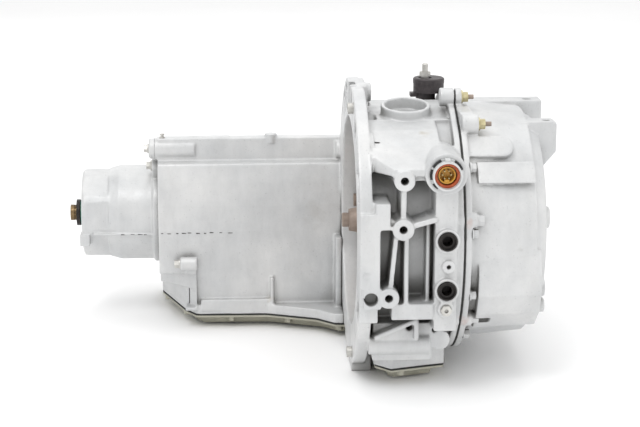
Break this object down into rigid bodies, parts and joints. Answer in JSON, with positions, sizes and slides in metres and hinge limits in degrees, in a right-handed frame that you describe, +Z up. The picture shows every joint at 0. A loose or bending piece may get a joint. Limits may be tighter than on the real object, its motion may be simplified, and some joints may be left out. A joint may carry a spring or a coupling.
{
  "type": "automatic transaxle",
  "caption": "Transverse automatic transaxle: bell housing with torque converter, chain cover, long gear case with differential, oil pan and selector shaft.",
  "frame": {"origin": "centre of the engine mating face, on the torque converter's axis", "axes": "+X towards the side cover, along the shafts; +Y towards the rear of the vehicle; +Z up"},
  "size_m": [0.652, 0.5485, 0.391],
  "materials": {
    "painted_aluminium": "satin silver paint over cast aluminium",
    "bare_aluminium": "machined",
    "steel": "machined",
    "pan_steel": "olive-grey painted sheet steel",
    "dark_steel": "oiled",
    "rusty_steel": "thin surface rust",
    "yellow_zinc": "yellow zinc plate",
    "black_rubber": "matt",
    "green_rubber": "matt",
    "gasket_black": "matt",
    "black_plastic": "moulded",
    "grey_plastic": "moulded",
    "orange_rubber": "satin",
    "yellow_plastic": "glossy",
    "black_fitting": "black oxide",
    "bronze_steel": "oil-browned splined steel"
  },
  "bodies": {
    "case": {"converter_housing": "painted_aluminium", "gear_case": "painted_aluminium", "extension_housing": "painted_aluminium", "side_cover": "painted_aluminium", "side_cover_gasket": "gasket_black", "oil_pan": "pan_steel", "pan_gasket": "gasket_black", "pan_bolts": "pan_steel", "cover_bolts": "painted_aluminium", "cover_studs": "rusty_steel", "stud_nuts": "yellow_zinc", "case_bolts": "steel", "servo_cover": "painted_aluminium", "case_vent": "steel", "engine_dowels": "steel", "cooler_fittings": "black_fitting", "pressure_plug": "steel", "connector_shell": "grey_plastic", "connector_seal": "orange_rubber", "connector_insert": "yellow_plastic", "range_switch_body": "black_plastic", "range_switch_cap": "black_plastic", "manual_valve_housing": "bare_aluminium", "detent_spring": "steel", "stator_support": "steel", "drive_chain": "dark_steel", "oil_pump": "bare_aluminium", "channel_plate": "bare_aluminium", "valve_body": "bare_aluminium", "ring_gear": "dark_steel", "left_output_seal": "green_rubber", "left_output_bearing": "steel", "differential_bearing": "steel", "right_output_seal": "black_rubber", "oil_filter": "black_plastic", "pawl_pin": "steel"},
    "torque_converter": {"torque_converter": "rusty_steel"},
    "input_shaft": {"turbine_shaft": "steel", "drive_sprocket": "dark_steel"},
    "gear_train": {"driven_sprocket": "dark_steel", "clutch_drum": "steel", "sun_shaft": "dark_steel", "parking_gear": "dark_steel"},
    "differential": {"differential_case": "dark_steel", "cross_pin": "steel"},
    "planet_1": {"planet_gear_1": "dark_steel"},
    "planet_2": {"planet_gear_2": "dark_steel"},
    "planet_3": {"planet_gear_3": "dark_steel"},
    "left_output": {"left_side_gear": "dark_steel", "left_output_shaft": "bronze_steel", "slinger_ring": "black_fitting"},
    "right_output": {"right_side_gear": "dark_steel", "right_output_shaft": "steel"},
    "pinion_upper": {"upper_pinion": "dark_steel"},
    "pinion_lower": {"lower_pinion": "dark_steel"},
    "selector": {"selector_shaft": "steel", "detent_lever": "steel", "range_switch_rotor": "black_plastic"},
    "manual_valve": {"manual_valve": "steel"},
    "park_pawl": {"park_pawl": "dark_steel"}
  },
  "joints": [
    {"name": "differential_spin", "type": "hinge", "parent": "case", "child": "differential", "pos_m": [-0.19, 0.24, -0.044], "axis": [1, 0, 0], "continuous": true},
    {"name": "converter_spin", "type": "hinge", "parent": "case", "child": "torque_converter", "pos_m": [0.04, 0, 0], "axis": [1, 0, 0], "continuous": true},
    {"name": "input_spin", "type": "hinge", "parent": "case", "child": "input_shaft", "pos_m": [0.1, 0, 0], "axis": [1, 0, 0], "continuous": true},
    {"name": "gear_train_spin", "type": "hinge", "parent": "case", "child": "gear_train", "pos_m": [0, 0.24, -0.044], "axis": [1, 0, 0], "continuous": true},
    {"name": "planet_1_spin", "type": "hinge", "parent": "differential", "child": "planet_1", "pos_m": [-0.136, 0.24, 0.0022], "axis": [1, 0, 0], "continuous": true},
    {"name": "planet_2_spin", "type": "hinge", "parent": "differential", "child": "planet_2", "pos_m": [-0.136, 0.19999, -0.0671], "axis": [1, 0, 0], "continuous": true},
    {"name": "planet_3_spin", "type": "hinge", "parent": "differential", "child": "planet_3", "pos_m": [-0.136, 0.28001, -0.0671], "axis": [1, 0, 0], "continuous": true},
    {"name": "left_output_spin", "type": "hinge", "parent": "differential", "child": "left_output", "pos_m": [-0.3, 0.24, -0.044], "axis": [1, 0, 0], "continuous": true},
    {"name": "right_output_spin", "type": "hinge", "parent": "differential", "child": "right_output", "pos_m": [0.1, 0.24, -0.044], "axis": [1, 0, 0], "continuous": true},
    {"name": "pinion_upper_spin", "type": "hinge", "parent": "differential", "child": "pinion_upper", "pos_m": [-0.2, 0.24, -0.014], "axis": [0, 0, 1], "continuous": true},
    {"name": "pinion_lower_spin", "type": "hinge", "parent": "differential", "child": "pinion_lower", "pos_m": [-0.2, 0.24, -0.074], "axis": [0, 0, 1], "continuous": true},
    {"name": "selector_turn", "type": "hinge", "parent": "case", "child": "selector", "pos_m": [0.106, 0.06, 0.15], "axis": [0, 0, 1], "range_deg": [-30, 30]},
    {"name": "manual_valve_slide", "type": "slide", "parent": "case", "child": "manual_valve", "axis": [0, 1, 0], "range_m": [-0.0165, 0.0165]},
    {"name": "park_pawl_turn", "type": "hinge", "parent": "case", "child": "park_pawl", "pos_m": [-0.098, 0.196, -0.124], "axis": [1, 0, 0], "range_deg": [-9, 9]}
  ],
  "couplings": [
    {"joint": "input_spin", "follows": "differential_spin", "ratio": 4.6667},
    {"joint": "gear_train_spin", "follows": "differential_spin", "ratio": 4.6667},
    {"joint": "planet_1_spin", "follows": "differential_spin", "ratio": -2.75},
    {"joint": "planet_2_spin", "follows": "differential_spin", "ratio": -2.75},
    {"joint": "planet_3_spin", "follows": "differential_spin", "ratio": -2.75},
    {"joint": "right_output_spin", "follows": "left_output_spin", "ratio": -1},
    {"joint": "pinion_upper_spin", "follows": "left_output_spin", "ratio": 1.3},
    {"joint": "pinion_lower_spin", "follows": "left_output_spin", "ratio": -1.3},
    {"joint": "manual_valve_slide", "follows": "selector_turn", "m_per_rad": 0.03},
    {"joint": "park_pawl_turn", "follows": "selector_turn", "ratio": -0.27}
  ]
}
